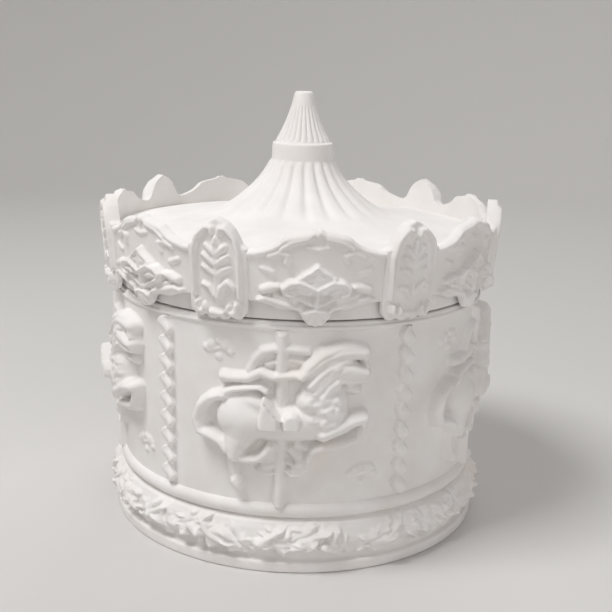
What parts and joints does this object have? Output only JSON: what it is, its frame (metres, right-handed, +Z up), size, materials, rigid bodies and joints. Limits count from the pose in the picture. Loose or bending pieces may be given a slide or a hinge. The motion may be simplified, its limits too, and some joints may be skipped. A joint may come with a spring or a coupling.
{
  "type": "carousel music box",
  "caption": "Round ceramic carousel box with relief horses and a scalloped canopy lid with a finial; a wind-up comb movement inside plays and turns the lid.",
  "frame": {"origin": "middle of the foot, on the surface that the box stands on", "axes": "+Z up along the axis that the lid turns about; -Y is the front, through one horse's pole"},
  "size_m": [0.1506, 0.1505, 0.1583],
  "materials": {
    "bisque": "unglazed bisque, matt",
    "beech": "sanded",
    "brass": "satin",
    "steel": "bright",
    "nickel": "nickel plated",
    "nylon": "moulded",
    "aluminium": "sheet",
    "lead": "dull lead",
    "rubber": "matt"
  },
  "bodies": {
    "case": {"drum_casting": "bisque", "bedplate": "brass", "isolation_pads": "rubber", "mounting_screws": "steel", "mounting_washers": "steel", "arbor_bush": "brass", "clutch_spring": "steel", "inner_bearing": "brass", "outer_bearing": "brass", "governor_post": "brass", "governor_bracket": "brass", "bridge_screws": "steel", "comb_block": "brass", "comb": "steel", "comb_screws": "steel", "tuning_weights": "lead"},
    "winding": {"winding_arbor": "steel", "winding_key": "nickel"},
    "motor": {"spring_barrel": "brass", "barrel_cap": "brass", "mainspring": "steel", "drive_post": "steel", "post_screws": "steel", "turntable": "steel", "turntable_nut": "brass", "drive_pins": "steel"},
    "lid": {"lid_casting": "bisque", "lid_hub": "beech"},
    "cylinder": {"pinned_cylinder": "brass", "cylinder_arbor": "steel", "cylinder_pinion": "brass", "cylinder_gear": "brass"},
    "governor": {"governor_arbor": "steel", "governor_pinion": "brass", "worm_wheel": "nylon"},
    "brake": {"worm": "steel", "air_brake": "aluminium"}
  },
  "joints": [
    {"name": "key_wind", "type": "hinge", "parent": "case", "child": "winding", "pos_m": [0, 0, 0.012], "axis": [0, 0, 1], "continuous": true},
    {"name": "barrel_turn", "type": "hinge", "parent": "case", "child": "motor", "pos_m": [0, 0, 0.036], "axis": [0, 0, 1], "continuous": true},
    {"name": "lid_lift", "type": "slide", "parent": "motor", "child": "lid", "axis": [0, 0, 1], "range_m": [0, 0.06]},
    {"name": "cylinder_turn", "type": "hinge", "parent": "case", "child": "cylinder", "pos_m": [0.028, 0, 0.03793], "axis": [1, 0, 0], "continuous": true},
    {"name": "governor_turn", "type": "hinge", "parent": "case", "child": "governor", "pos_m": [0.034, 0.012, 0.03793], "axis": [1, 0, 0], "continuous": true},
    {"name": "brake_turn", "type": "hinge", "parent": "case", "child": "brake", "pos_m": [0.03105, 0.01775, 0.03793], "axis": [0, 0, 1], "continuous": true}
  ],
  "couplings": [
    {"joint": "cylinder_turn", "follows": "barrel_turn", "ratio": 3},
    {"joint": "governor_turn", "follows": "barrel_turn", "ratio": -9},
    {"joint": "brake_turn", "follows": "barrel_turn", "ratio": 144}
  ]
}
